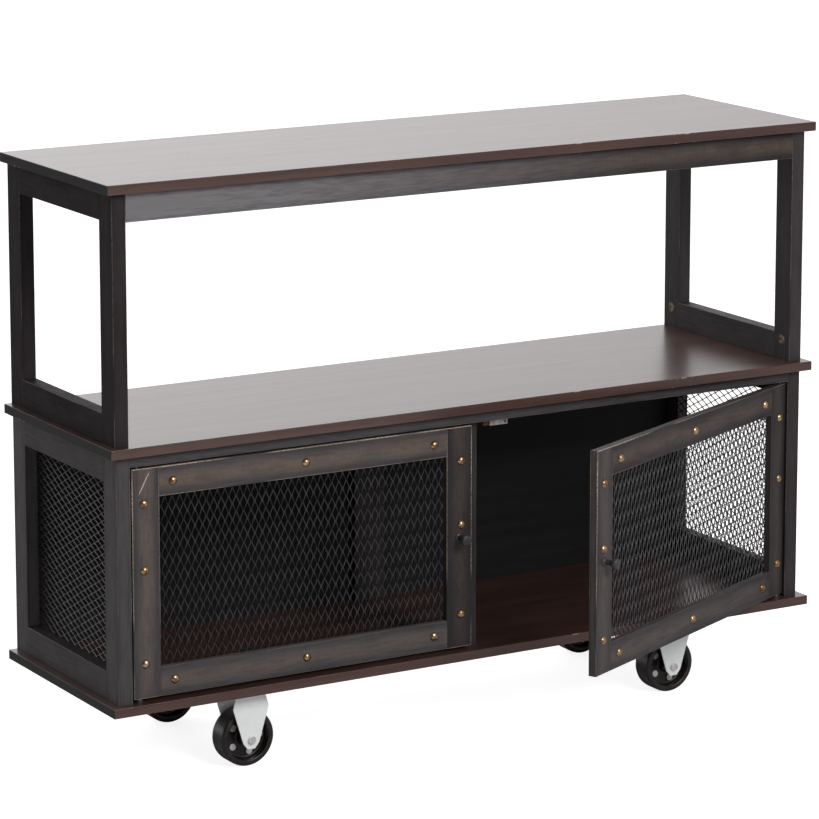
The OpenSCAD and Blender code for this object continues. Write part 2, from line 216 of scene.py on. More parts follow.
EDGE_LINES = edge_lines()
FIGURE_DARK = (0.046, 0.0205, 0.0165, 1)
FIGURE_LIGHT = (0.086, 0.0400, 0.0330, 1)
FIGURE_CLOUD = (0.045, 0.020, 0.013, 1)
PORE_BLACK = (0.010, 0.005, 0.004, 1)
# the board ends' painted shade
END_SHADE_BLACK = (0.004, 0.002, 0.002, 1)
RUBBED_EDGE = (0.16, 0.085, 0.060, 1)
CHIPPED_EDGE = (0.46, 0.31, 0.23, 1)


def walnut_laminate():
    """Printed walnut figure along the board, fine pores, painted shade darkening the ends,
    and chips knocked off the edges."""
    tree, given, out = shared_effect("walnut laminate", {"Place": "Vector", "Half": "Vector"},
                                     FINISH)
    place = given["Place"]
    figure = speckle(tree, place, (2.6, 46, 46), detail=7, roughness=0.62, distortion=0.5)
    broad = speckle(tree, place, (0.9, 9, 9), detail=2)
    pores = speckle(tree, place, (38, 1500, 1500), detail=2, roughness=0.7)
    brown = blended(tree, between(tree, figure, 0.34, 0.68), FIGURE_DARK, FIGURE_LIGHT)
    brown = blended(tree, reckon(tree, "MULTIPLY", between(tree, broad, 0.35, 0.7), 0.4),
                    brown, FIGURE_CLOUD)
    brown = blended(tree, between(tree, pores, 0.60, 0.72, 0, 0.55), brown, PORE_BLACK)
    lines = wire(tree, "ShaderNodeGroup", {"Place": place, "Half": given["Half"]},
                 node_tree=EDGE_LINES)
    edge = reckon(tree, "MINIMUM", lines["Long"], lines["End"])
    knock = reckon(tree, "MULTIPLY",
                   between(tree, speckle(tree, place, (7, 7, 7), detail=1), 0.60, 0.64),
                   between(tree, speckle(tree, place, (240, 240, 240), detail=3), 0.52, 0.60))
    chip = reckon(tree, "MULTIPLY", between(tree, edge, 0.0006, 0.0016, 1, 0), knock)
    rubbed = reckon(tree, "MULTIPLY", between(tree, edge, 0.0003, 0.0012, 1, 0),
                    between(tree, speckle(tree, place, (16, 16, 16), detail=5), 0.42, 0.62, 0, 0.55))
    # the board ends are darkened nearly to black and dulled: painted shade
    painted_end_shade = between(tree, lines["Tip"], 0.0002, 0.0007, 1, 0)
    brown = blended(tree, painted_end_shade, brown, END_SHADE_BLACK)
    brown = blended(tree, rubbed, brown, RUBBED_EDGE)
    brown = blended(tree, chip, brown, CHIPPED_EDGE)
    tree.links.new(brown, out["Colour"])
    gloss = reckon(tree, "ADD", between(tree, figure, 0.3, 0.7, 0.29, 0.285),
                   reckon(tree, "MULTIPLY", pores, 0.04))
    dull = reckon(tree, "MAXIMUM", reckon(tree, "MULTIPLY", chip, 0.8), painted_end_shade)
    tree.links.new(reckon(tree, "MAXIMUM", gloss, dull), out["Roughness"])
    relief = reckon(tree, "SUBTRACT", reckon(tree, "MULTIPLY", figure, 0.10),
                    between(tree, pores, 0.58, 0.70, 0, 0.5))
    tree.links.new(reckon(tree, "SUBTRACT", relief, chip), out["Height"])
    return tree


def finish_material(name, effect, feeds, bump, shader=(), **values):
    """A material whose colour, roughness and bump come from a shared effect. feeds names what
    each socket reads, bump is the height of the relief, and values are the effect's own."""
    material = bpy.data.materials.new(name)
    material.use_nodes = True
    tree = material.node_tree
    surface = tree.nodes["Principled BSDF"]
    source = tree.nodes.new("ShaderNodeGroup")
    source.node_tree = effect
    for socket, attribute in feeds.items():
        if attribute == "Object":
            feed = wire(tree, "ShaderNodeTexCoord")["Object"]
        else:
            feed = wire(tree, "ShaderNodeAttribute", attribute_name=attribute)["Vector"]
        tree.links.new(feed, source.inputs[socket])
    for socket, value in values.items():
        source.inputs[socket].default_value = value
    for socket, value in dict(shader).items():
        surface.inputs[socket].default_value = value
    tree.links.new(source.outputs["Colour"], surface.inputs["Base Color"])
    tree.links.new(source.outputs["Roughness"], surface.inputs["Roughness"])
    relief = wire(tree, "ShaderNodeBump", {"Strength": 1.0, "Distance": bump,
                                           "Height": source.outputs["Height"]})
    tree.links.new(relief["Normal"], surface.inputs["Normal"])
    return material


walnut = finish_material("walnut laminate", walnut_laminate(),
                         {"Place": "place", "Half": "half"}, bump=0.00004,
                         shader={"Coat Weight": 0.25, "Coat Roughness": 0.22})

for level in ("top", "middle", "bottom"):
    board = merged_copy(level + "_board")
    ease(board, BOARD_EASE)
    mark_place(board, order=(0, 1, 2))
    add_piece(level + "_laminate_board", board, walnut, "carcass", "walnut_boards",
              level + "_board")


# SIDE FRAMES, APRONS AND CABINET FRAME
# Square-edged timber posts and rails, housed together and screwed, in charcoal paint that
# was rubbed back by hand to grey and bronze along the faces and to bare wood at the edges.

FRAME_EASE = 0.0007
CHARCOAL_DARK = (0.022, 0.0185, 0.0200, 1)
CHARCOAL_LIGHT = (0.034, 0.0290, 0.0315, 1)
CHARCOAL_STREAK = (0.052, 0.046, 0.046, 1)
# the black that tones below 0 blend towards: painted shade
PAINTED_SHADE_BLACK = (0.0035, 0.0028, 0.0032, 1)
RUBBED_GREY = (0.175, 0.170, 0.180, 1)
RUBBED_BRONZE = (0.150, 0.112, 0.088, 1)
BARE_WOOD = (0.52, 0.42, 0.33, 1)
SCRATCH_SLOPE = 0.52            # how fast the scratch runs outwards on its way down
SCRATCH_INSET = 0.0075          # how far inside the middle line it would meet the head
SCRATCH_WOBBLE = 0.003


def rubbed_paint():
    """Charcoal paint: Tone says how far it is rubbed to bronze, to grey (below 0: darkened
    towards black as painted shade), and off the edges."""
    tree, given, out = shared_effect(
        "rubbed charcoal paint",
        {"Place": "Vector", "Half": "Vector", "Tone": "Vector", "Scratched": "Float"}, FINISH)
    place = given["Place"]
    size = reckon_vector(tree, "ABSOLUTE", place)
    share = parts_of(tree, reckon_vector(tree, "DIVIDE", size, given["Half"]))
    tone = parts_of(tree, given["Tone"])
    band = reckon(tree, "ADD", between(tree, share[1], 0.05, 0.95, 1, 0),
                  between(tree, share[2], 0.05, 0.95, 1, 0), clamp=True)
    streaks = speckle(tree, place, (26, 260, 260), detail=5, roughness=0.65)
    patches = speckle(tree, place, (20, 46, 46), detail=5, roughness=0.65)
    hatch = speckle(tree, place, (620, 60, 60), detail=3, roughness=0.6)
    cloud = speckle(tree, place, (5, 18, 18), detail=3, shift=(7, 3, 1))
    charcoal = blended(tree, between(tree, cloud, 0.3, 0.7), CHARCOAL_DARK, CHARCOAL_LIGHT)
    charcoal = blended(tree, between(tree, streaks, 0.40, 0.70, 0, 0.25), charcoal,
                       CHARCOAL_STREAK)
    # a grey tone below 0 darkens the charcoal towards black: painted shade
    painted_shade = between(tree, tone[1], -1.0, 0.0, 1, 0)
    charcoal = blended(tree, painted_shade, charcoal, PAINTED_SHADE_BLACK)
    grey = reckon(tree, "MULTIPLY", reckon(tree, "MAXIMUM", tone[1], 0.0),
                  reckon(tree, "MULTIPLY", between(tree, streaks, 0.30, 0.66, 0.55, 1),
                         between(tree, band, 0, 0.7, 0.75, 1)))
    colour = blended(tree, grey, charcoal, RUBBED_GREY)
    rub = reckon(tree, "MULTIPLY", reckon(tree, "MULTIPLY", tone[0], band),
                 reckon(tree, "MULTIPLY", between(tree, patches, 0.28, 0.62, 0.35, 1),
                        reckon(tree, "MULTIPLY", between(tree, hatch, 0.3, 0.7, 0.7, 1),
                               between(tree, streaks, 0.3, 0.7, 0.75, 1))))
    colour = blended(tree, rub, colour, RUBBED_BRONZE)
    lines = wire(tree, "ShaderNodeGroup", {"Place": place, "Half": given["Half"]},
                 node_tree=EDGE_LINES)
    point = parts_of(tree, place)
    outer = between(tree, point[1], -0.001, 0.001, 0.45, 1)
    runs = between(tree, speckle(tree, place, (6.5, 0, 0), detail=1, shift=(2, 5, 5)), 0.44, 0.54)
    ends = between(tree, lines["End"], 0.0005, 0.0013, 1, 0)
    line_width = reckon(tree, "ADD", 0.0008, reckon(tree, "MULTIPLY", tone[2], 0.0013))
    sides = reckon(tree, "MULTIPLY", outer, reckon(
        tree, "MULTIPLY", runs, between(tree, lines["Long"], 0.0004, line_width, 1, 0)))
    flakes = between(tree, speckle(tree, place, (330, 330, 330), detail=3), 0.36, 0.56, 0.25, 1)
    bare = reckon(tree, "MULTIPLY", reckon(tree, "MULTIPLY", tone[2], flakes),
                  reckon(tree, "MAXIMUM", sides, ends), clamp=True)
    specks = between(tree, speckle(tree, place, (420, 900, 900), detail=2), 0.70, 0.74)
    clusters = between(tree, speckle(tree, place, (22, 22, 22), detail=2), 0.55, 0.66)
    fleck = reckon(tree, "MULTIPLY", tone[2], reckon(tree, "MULTIPLY", specks, clusters),
                   clamp=True)
    worn = reckon(tree, "MAXIMUM", bare, reckon(tree, "MULTIPLY", fleck, 0.6))
    # one slanting scratch near the head of a member, on its outer half
    below_head = reckon(tree, "SUBTRACT", parts_of(tree, given["Half"])[0], point[0])
    drift = reckon(tree, "ADD", point[1], reckon(tree, "MULTIPLY", below_head, -SCRATCH_SLOPE))
    wobble = reckon(tree, "MULTIPLY", speckle(tree, place, (180, 180, 180), detail=2),
                    SCRATCH_WOBBLE)
    off_line = reckon(tree, "ADD", reckon(tree, "ADD", drift, wobble), SCRATCH_INSET)
    mark = between(tree, reckon(tree, "ABSOLUTE", off_line), 0.0003, 0.0011, 1, 0)
    reach = reckon(tree, "MULTIPLY", between(tree, below_head, 0.006, 0.009),
                   between(tree, below_head, 0.034, 0.038, 1, 0))
    mark = reckon(tree, "MULTIPLY", reckon(tree, "MULTIPLY", mark, reach), given["Scratched"])
    worn = reckon(tree, "MAXIMUM", worn, mark)
    colour = blended(tree, worn, colour, BARE_WOOD)
    tree.links.new(colour, out["Colour"])
    gloss = between(tree, streaks, 0.3, 0.7, 0.56, 0.46)
    gloss = reckon(tree, "SUBTRACT", gloss, reckon(tree, "MULTIPLY", rub, 0.06))
    tree.links.new(reckon(tree, "ADD", gloss, reckon(tree, "MULTIPLY", worn, 0.3)),
                   out["Roughness"])
    relief = reckon(tree, "ADD", reckon(tree, "MULTIPLY", streaks, 0.7),
                    reckon(tree, "MULTIPLY", hatch, 0.2))
    tree.links.new(reckon(tree, "SUBTRACT", relief, worn), out["Height"])
    return tree


PAINT = rubbed_paint()


def charcoal_paint(name, sheen, scratched):
    return finish_material(name, PAINT, {"Place": "place", "Half": "half", "Tone": "tone"},
                           bump=0.00007, shader={"Specular IOR Level": sheen},
                           Scratched=scratched)


paint = charcoal_paint("rubbed charcoal paint", sheen=0.18, scratched=0.0)
dull_paint = charcoal_paint("dull charcoal paint", sheen=0.03, scratched=0.0)
scratched_paint = charcoal_paint("scratched charcoal paint", sheen=0.18, scratched=1.0)

UPRIGHT, LENGTHWISE, FRONT_TO_BACK = (2, 0, 1), (0, 2, 1), (1, 2, 0)
WAYS = (Vector((1, 0, 0)), Vector((0, 1, 0)), Vector((0, 0, 1)))


def add_member(node, order, tones, body="carcass", at_rest=STILL, outward=1, loose_ends=False,
               material=paint):
    """Finishes one post, rail or stile. order gives the axes along, across and through it."""
    member = merged_copy(node)
    way = at_rest.to_3x3() @ WAYS[order[0]]
    ease(member, FRAME_EASE, along=None if loose_ends else way)
    mark_place(member, order, at_rest, outward, loose_ends, tones)
    add_piece(node + "_timber", member, material, body, "black_frame", node)


# a tone is the rub to bronze, the rub to grey (below 0: painted shade, darker than plain charcoal),
# and the wear at edges
UPPER_PAINT = {"left": dull_paint, "right": paint}
# the upper left frame is darkened below charcoal as painted shade; the upper right one is rubbed a
# little to grey
UPPER_SHADE_AND_GREY = {"left": -0.22, "right": 0.05}
# the lower left frame is rubbed to grey; the lower right one is darkened below charcoal as painted
# shade
LOWER_GREY_AND_SHADE = {"left": 0.25, "right": -0.20}
RAIL_SHADE_DEEPENING = 1.5            # the upper rails are this many times further from plain charcoal, so the left rails get deeper painted shade
for side in ("left", "right"):
    upper, lower, rail = UPPER_SHADE_AND_GREY[side], LOWER_GREY_AND_SHADE[side], RAIL_SHADE_DEEPENING * UPPER_SHADE_AND_GREY[side]
    for end in ("front", "rear"):
        add_member(f"upper_{side}_{end}_post", UPRIGHT, ((0.05, upper, 0.5), (0.08, upper, 0.5)),
                   material=UPPER_PAINT[side])
        add_member(f"lower_{side}_{end}_post", UPRIGHT, ((0.10, lower, 0.4), (0.10, lower, 0.4)))
    for height in ("top", "bottom"):
        add_member(f"upper_{side}_{height}_rail", FRONT_TO_BACK,
                   ((0.05, rail, 0.3), (0.05, rail, 0.3)), material=UPPER_PAINT[side])
        add_member(f"lower_{side}_{height}_rail", FRONT_TO_BACK,
                   ((0.05, 0.1, 0.3), (0.05, 0.1, 0.3)))
# the front apron is rubbed grey at its left end and darkened below charcoal at its right end as
# painted shade
add_member("upper_front_apron", LENGTHWISE, ((0.20, 1.50, 0.5), (0.55, -0.45, 0.5)))
add_member("upper_rear_apron", LENGTHWISE, ((0.5, 0.3, 0.4), (0.5, 0.3, 0.4)))
add_member("front_door_rail", LENGTHWISE, ((0, 0.3, 0.4), (0, 0.15, 0.4)))
add_member("front_centre_post", UPRIGHT, ((0, 0, 0.2), (0, 0, 0.2)))
add_member("rear_centre_post", UPRIGHT, ((0, 0, 0.2), (0, 0, 0.2)))


# BACK PANEL
# A thin panel of board, painted black, slid down grooves in the rear posts.

BACK_EASE = 0.0004
BACK_DARK = (0.0065, 0.0055, 0.0070, 1)
BACK_LIGHT = (0.0110, 0.0095, 0.0115, 1)


def dull_board():
    """Flat black paint over board: faint roller stipple and the board's own long figure."""
    tree, given, out = shared_effect("dull black board", {"Place": "Vector"}, FINISH)
    place = given["Place"]
    figure = speckle(tree, place, (3, 60, 60), detail=5)
    stipple = speckle(tree, place, (700, 700, 700), detail=3)
    tree.links.new(blended(tree, between(tree, figure, 0.3, 0.7), BACK_DARK, BACK_LIGHT),
                   out["Colour"])
    tree.links.new(between(tree, stipple, 0.3, 0.7, 0.60, 0.74), out["Roughness"])
    tree.links.new(stipple, out["Height"])
    return tree


back_black = finish_material("dull black board", dull_board(), {"Place": "place"}, bump=0.00005,
                             shader={"Specular IOR Level": 0.32})
back = merged_copy("back_panel")
ease(back, BACK_EASE)
mark_place(back, order=LENGTHWISE)
add_piece("black_back_board", back, back_black, "carcass", "back_panel", "back_panel")


# MESH SHEETS
# Expanded steel sheet, slit and drawn out into diamonds, painted satin black. The strands
# lie at a slant to the sheet. Each sheet is set in a rebate and pinned from behind.

DIAMOND_LONG = 0.0236
DIAMOND_SHORT = 0.012
STRAND_WIDTH = 0.0015
STRAND_THICK = 0.0009
STRAND_SLANT = math.radians(38)
BOND_HALF = 0.0013
STRAND_WELD = 1e-5
SHEET_SETBACK = 0.0008          # a sheet lies this far behind the middle of its rebate
STEEL_DARK = (0.021, 0.020, 0.023, 1)
STEEL_LIGHT = (0.042, 0.040, 0.044, 1)
STEEL_RUBBED = (0.07, 0.067, 0.067, 1)


def expanded_sheet(width, height, slant):
    """A sheet standing in XZ, its diamonds' long way upright, with its middle at the origin."""
    bm = bmesh.new()
    lean = Vector((math.cos(slant), -math.sin(slant), 0))
    flat = Vector((math.sin(slant), math.cos(slant), 0))
    step = Vector((DIAMOND_SHORT / 2, 0, 0))
    rise = Vector((0, 0, DIAMOND_LONG / 2))
    bond = Vector((0, 0, 2 * BOND_HALF))
    for start, sway in ((lean * STRAND_WIDTH / 2, step - lean * STRAND_WIDTH),
                        (2 * step - lean * STRAND_WIDTH / 2, lean * STRAND_WIDTH - step)):
        corners = [bm.verts.new(start - bond / 2 + lean * a * STRAND_WIDTH / 2
                                + flat * b * STRAND_THICK / 2)
                   for a, b in ((-1, -1), (1, -1), (1, 1), (-1, 1))]
        ring = [bm.edges.new((corners[i], corners[(i + 1) % 4])) for i in range(4)]
        for move in (bond, rise - bond + sway, bond, rise - bond - sway):
            drawn = bmesh.ops.extrude_edge_only(bm, edges=ring)["geom"]
            ring = [g for g in drawn if isinstance(g, bmesh.types.BMEdge)]
            bmesh.ops.translate(bm, verts=[g for g in drawn if isinstance(g, bmesh.types.BMVert)],
                                vec=move)
    for vector, length in ((2 * rise, height), (2 * step, width)):
        strip = bm.verts[:] + bm.edges[:] + bm.faces[:]
        for i in range(1, math.ceil(length / vector.length) + 2):
            more = bmesh.ops.duplicate(bm, geom=strip)["geom"]
            bmesh.ops.translate(bm, verts=[g for g in more if isinstance(g, bmesh.types.BMVert)],
                                vec=i * vector)
    bmesh.ops.remove_doubles(bm, verts=bm.verts, dist=STRAND_WELD)
    across, up = [max(v.co[i] for v in bm.verts) + min(v.co[i] for v in bm.verts) for i in (0, 2)]
    bmesh.ops.translate(bm, verts=bm.verts, vec=(-across / 2, 0, -up / 2))
    for axis, reach in ((Vector((1, 0, 0)), width / 2), (Vector((0, 0, 1)), height / 2)):
        for way in (axis, -axis):
            bmesh.ops.bisect_plane(bm, geom=bm.verts[:] + bm.edges[:] + bm.faces[:], dist=1e-7,
                                   plane_co=way * reach, plane_no=way, clear_outer=True)
    bmesh.ops.holes_fill(bm, edges=[e for e in bm.edges if e.is_boundary], sides=8)
    return bm


def satin_black():
    """Sprayed black over steel: slight orange peel, dust, and a trace of metal on high spots."""
    tree, given, out = shared_effect("satin black over metal", {"Place": "Vector"}, FINISH)
    place = given["Place"]
    peel = speckle(tree, place, (900, 900, 900), detail=3)
    patch = speckle(tree, place, (45, 45, 45), detail=3)
    dark = blended(tree, between(tree, patch, 0.3, 0.7), STEEL_DARK, STEEL_LIGHT)
    rubbed = between(tree, speckle(tree, place, (260, 260, 260), detail=4), 0.62, 0.74, 0, 0.4)
    tree.links.new(blended(tree, rubbed, dark, STEEL_RUBBED), out["Colour"])
    tree.links.new(between(tree, patch, 0.3, 0.7, 0.40, 0.50), out["Roughness"])
    tree.links.new(peel, out["Height"])
    return tree


SATIN_BLACK = satin_black()
mesh_black = finish_material("satin black mesh", SATIN_BLACK, {"Place": "Object"}, bump=0.00003)

for side, sign in (("left", -1), ("right", 1)):
    low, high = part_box(side + "_side_mesh")
    sheet = expanded_sheet(high.z - low.z, high.y - low.y, STRAND_SLANT)
    # the long way of its diamonds runs front to back, and the short way upright
    lay = Matrix(((0, -1, 0), (0, 0, 1), (1, 0, 0))).to_4x4()
    bmesh.ops.transform(sheet, verts=sheet.verts, matrix=Matrix.Translation(
        (low + high) / 2 - Vector((sign * SHEET_SETBACK, 0, 0))) @ lay)
    add_piece(side + "_side_expanded_sheet", sheet, mesh_black, "carcass", "black_mesh",
              side + "_side_mesh")


# DOORS
# Two framed doors. The stiles run full height with the rails between them, glued and
# dowelled, painted and rubbed back like the posts. The right one stands ajar.

hinge = {joint["child"]: joint for joint in frame["joints"]}
door_at_rest = {"left_door": STILL}
pin = Vector(hinge["right_door"]["pos_m"])
ajar = math.radians(-hinge["right_door"]["range_deg"][0])
door_at_rest["right_door"] = (Matrix.Translation(pin) @ Matrix.Rotation(ajar, 4, "Z")
                              @ Matrix.Translation(-pin))


def closed_box(node, door):
    """The box of a door's piece with the door shut."""
    unturn = door_at_rest[door].inverted()
    return box_of([unturn @ v.co for v in frame["nodes"][node].data.vertices])


# rub to bronze and grey is the paint's own; the greys below 0, on the left door's latch stile and
# the right door's hinge stile and top rail, are painted shade
DOOR_RUB_AND_SHADE = {
    "left_door": {"hinge_stile": ((0.70, 0.22, 0.6), (0.85, 0.22, 1.0)),
                  "latch_stile": ((0.22, -0.40, 0.8), (0.32, -0.25, 1.0)),
                  "top_rail": ((0.95, 0.25, 1.0), (0.95, 0.22, 1.0)),
                  "bottom_rail": ((0.65, 0.32, 0.3), (0.55, 0.30, 0.3))},
    "right_door": {"hinge_stile": ((0.25, -0.25, 0.2), (0.2, -0.25, 0.2)),
                   "latch_stile": ((0.35, 0.2, 0.3), (0.35, 0.15, 0.9)),
                   "top_rail": ((0.50, 0.0, 0.8), (0.40, -0.1, 0.2)),
                   "bottom_rail": ((0.5, 0.2, 0.3), (0.3, 0.1, 0.2))},
}
SCRATCHED_MEMBER = "left_door_hinge_stile"
for door, members in DOOR_RUB_AND_SHADE.items():
    leftwards = 1 if door == "left_door" else -1
    for member, tones in members.items():
        stile = member.endswith("stile")
        if stile:
            outward = -leftwards if member == "hinge_stile" else leftwards
        else:
            outward = 1 if member == "top_rail" else -1
        add_member(f"{door}_{member}", UPRIGHT if stile else LENGTHWISE, tones, door,
                   door_at_rest[door], outward, loose_ends=stile,
                   material=scratched_paint if f"{door}_{member}" == SCRATCHED_MEMBER else paint)
    low, high = closed_box(door + "_mesh", door)
    sheet = expanded_sheet(high.x - low.x, high.z - low.z, STRAND_SLANT)
    bmesh.ops.transform(sheet, verts=sheet.verts, matrix=door_at_rest[door] @ Matrix.Translation(
        (low + high) / 2 + Vector((0, SHEET_SETBACK, 0))))
    add_piece(door + "_expanded_sheet", sheet, mesh_black, door, "black_mesh", door + "_mesh")


# DOME NAILS
# Brass-plated upholstery nails with domed heads, driven through the door frames for show.
# The plating is bright brass with dull brown patches scattered over it.


def lathe(outline, steps=32):
    """Turns an outline of (radius, depth) pairs about +Y."""
    bm = bmesh.new()
    points = [bm.verts.new((radius, depth, 0)) for radius, depth in outline]
    edges = [bm.edges.new(pair) for pair in zip(points, points[1:])]
    bmesh.ops.spin(bm, geom=points + edges, cent=(0, 0, 0), axis=(0, 1, 0), steps=steps,
                   angle=math.tau, use_merge=True)
    bmesh.ops.remove_doubles(bm, verts=bm.verts, dist=WELD)
    return bm


def loose_parts(bm):
    """The boxes of a mesh's separate parts."""
    todo, boxes = set(bm.verts), []
    while todo:
        part, reached = set(), [next(iter(todo))]
        while reached:
            v = reached.pop()
            if v not in part:
                part.add(v)
                reached += [e.other_vert(v) for e in v.link_edges]
        todo -= part
        boxes.append(box_of([v.co for v in part]))
    return sorted(boxes, key=lambda box: tuple(round(x, 5) for x in box[0]))


def join(target, part, matrix=STILL):
    """Adds a moved copy of one bmesh to another."""
    moved = bpy.data.meshes.new("moved")
    bmesh.ops.transform(part, matrix=matrix, verts=part.verts)
    part.to_mesh(moved)
    bmesh.ops.transform(part, matrix=matrix.inverted(), verts=part.verts)
    target.from_mesh(moved)
    bpy.data.meshes.remove(moved)


def plated_metal():
    """Plating over steel: its colour, a second colour in the dull patches, fine scuffs."""
    tree, given, out = shared_effect(
        "plated metal", {"Place": "Vector", "Bright": "Color", "Dull": "Color", "Grain": "Float",
                         "Polish": "Float", "Dulled": "Float"}, FINISH)
    place = wire(tree, "ShaderNodeVectorMath", {"Vector": given["Place"], "Scale": given["Grain"]},
                 operation="SCALE")[0]
    patch = speckle(tree, place, (1, 1, 1), detail=5, roughness=0.6)
    scuffs = speckle(tree, place, (9, 1.3, 9), detail=3, roughness=0.7)
    dull = reckon(tree, "MULTIPLY", given["Dulled"], between(tree, patch, 0.36, 0.66))
    tree.links.new(blended(tree, dull, given["Bright"], given["Dull"]), out["Colour"])
    rough = reckon(tree, "ADD", given["Polish"], reckon(tree, "MULTIPLY", dull, 0.22))
    tree.links.new(reckon(tree, "ADD", rough, between(tree, scuffs, 0.55, 0.75, 0, 0.12)),
                   out["Roughness"])
    tree.links.new(reckon(tree, "ADD", reckon(tree, "MULTIPLY", patch, 0.6), scuffs), out["Height"])
    return tree


PLATED = plated_metal()


def plating(name, bright, dull, grain, polish, dulled, metallic=1.0):
    """A plated finish: grain is patches per metre, polish the roughness where it is bright."""
    return finish_material(name, PLATED, {"Place": "Object"}, bump=0.00002,
                           shader={"Metallic": metallic}, Bright=(*bright, 1), Dull=(*dull, 1),
                           Grain=grain, Polish=polish, Dulled=dulled)


# radius and rise, as shares of the head's radius and of the dome's height
NAIL_OUTLINE = ((0, 1.0), (0.22, 0.975), (0.43, 0.90), (0.62, 0.77), (0.78, 0.60), (0.90, 0.40),
                (0.97, 0.20), (1.0, 0.10), (1.0, 0.02), (0.97, -0.05), (0, -0.05))
brass = plating("aged brass", (0.66, 0.46, 0.27), (0.17, 0.085, 0.035), 150, 0.20, 0.95)

for door in ("left_door", "right_door"):
    cad_nails = merged_copy(door + "_nails")
    bmesh.ops.transform(cad_nails, matrix=door_at_rest[door].inverted(), verts=cad_nails.verts)
    nails = bmesh.new()
    face_y = closed_box(door + "_top_rail", door)[0].y
    for low, high in loose_parts(cad_nails):
        radius, dome = (high.x - low.x) / 2, face_y - low.y
        head = lathe([(out * radius, -rise * dome) for out, rise in NAIL_OUTLINE], steps=24)
        join(nails, head, door_at_rest[door] @ Matrix.Translation(
            ((low.x + high.x) / 2, face_y, (low.z + high.z) / 2)))
        head.free()
    cad_nails.free()
    add_piece(door + "_dome_nails", nails, brass, door, "brass_nails", door + "_nails")


# KNOBS
# Turned metal knobs painted black: a flat button with a soft rim on a waisted neck,
# screwed on from behind the latch stiles.

# radius and distance from the stile, in millimetres
KNOB_OUTLINE = ((0, 0), (7.0, 0), (7.0, 1.1), (6.5, 1.8), (5.0, 2.3), (4.2, 3.4), (4.0, 6.0),
                (4.0, 11.5), (4.4, 13.6), (5.6, 14.7), (7.3, 15.4), (8.2, 16.6), (8.5, 18.2),
                (8.5, 20.0), (8.1, 21.6), (7.2, 22.8), (6.2, 23.4), (5.6, 23.3), (5.2, 23.3),
                (4.4, 23.7), (2.4, 23.95), (0, 24.0))
knob_black = finish_material("satin black knob", SATIN_BLACK, {"Place": "Object"}, bump=0.00004)

for door in ("left_door", "right_door"):
    low, high = closed_box(door + "_knob", door)
    scale = (high.y - low.y) / KNOB_OUTLINE[-1][1]
    knob = lathe([(out * scale, -rise * scale) for out, rise in KNOB_OUTLINE], steps=40)
    bmesh.ops.transform(knob, verts=knob.verts, matrix=door_at_rest[door] @ Matrix.Translation(
        ((low.x + high.x) / 2, high.y, (low.z + high.z) / 2)))
    add_piece(door + "_turned_knob", knob, knob_black, door, "black_knobs", door + "_knob")


# PINS, STRIKE PLATES, CATCHES AND CAM LOCKS
# Bought hardware: zinc-plated steel pins and plates, magnetic catches with a steel face
# and a brown moulded cap, and brassed cams that pull the posts down on the board.

PIN_EASE = 0.0004
PLATE_EASE = 0.0003
CASE_EASE = 0.0005
zinc = plating("bright zinc plate", (0.92, 0.95, 0.94), (0.84, 0.87, 0.87), 70, 0.42, 0.35,
               metallic=0.10)
pin_steel = plating("dark oiled pin", (0.16, 0.15, 0.15), (0.08, 0.07, 0.07), 90, 0.42, 0.6)


def add_eased(node, name, radius, material, body, slot, over=0.0):
    """Finishes a piece of hardware in its own shape, with its edges softened."""
    part = merged_copy(node)
    ease(part, radius, over=over)
    add_piece(name, part, material, body, slot, node)


add_eased("door_hanging_pins", "hanging_pins", PIN_EASE, pin_steel, "carcass", "bright_steel")
for door in ("left_door", "right_door"):
    add_eased(door + "_strike_plate", door + "_catch_plate", PLATE_EASE, zinc, door,
              "bright_steel", over=CASE_EASE)

moulding = plating("brown moulding", (0.11, 0.055, 0.034), (0.045, 0.022, 0.016), 90, 0.48, 0.7,
                   metallic=0.0)
CAP_SHARE = 11 / 42             # of a catch's length taken up by its cap
CAP_STEP = 0.001                # the cap is lower than the case, and set back from its face
CASE_SUNK, CAP_SUNK = 0.0006, 0.0004
PANEL_MARGIN = 0.0018
POLE_HEIGHTS = (0.3, 0.72)      # shares of the case's height
POLE_INSET = 0.0042
POLE_SUNK = 0.0008
# radius and rise, in metres
POLE_OUTLINE = ((0, 0), (0.0019, 0), (0.0019, 0.0005), (0.0015, 0.0009), (0, 0.0010))


def panel_box(low, high, sunk):
    """A box with softened edges whose front face has a shallow pressed panel."""
    bm = bmesh.new()
    middle, size = (low + high) / 2, high - low
    bmesh.ops.create_cube(bm, size=1, matrix=Matrix.Translation(middle) @ Matrix.Diagonal(
        (*size, 1)))
    front = min(bm.faces, key=lambda f: f.calc_center_median().y)
    bmesh.ops.inset_region(bm, faces=[front], thickness=PANEL_MARGIN, depth=-sunk)
    ease(bm, CASE_EASE, over=CASE_EASE)
    return bm


cad_catches = merged_copy("magnetic_catches")
catch_steel = plating("catch case steel", (0.52, 0.50, 0.50), (0.30, 0.28, 0.28), 140, 0.36, 0.8,
                      metallic=0.6)
cases, caps, poles = bmesh.new(), bmesh.new(), bmesh.new()
for low, high in loose_parts(cad_catches):
    split = low.x + CAP_SHARE * (high.x - low.x)
    case = panel_box(Vector((split, low.y, low.z)), high, CASE_SUNK)
    cap = panel_box(low + Vector((0, CAP_STEP, CAP_STEP)), Vector((split, high.y, high.z)),
                    CAP_SUNK)
    join(cases, case)
    join(caps, cap)
    for share in POLE_HEIGHTS:
        pole = lathe([(out, -rise) for out, rise in POLE_OUTLINE], steps=20)
        join(poles, pole, Matrix.Translation(
            (high.x - POLE_INSET, low.y + POLE_SUNK, low.z + share * (high.z - low.z))))
        pole.free()
    case.free()
    cap.free()
cad_catches.free()
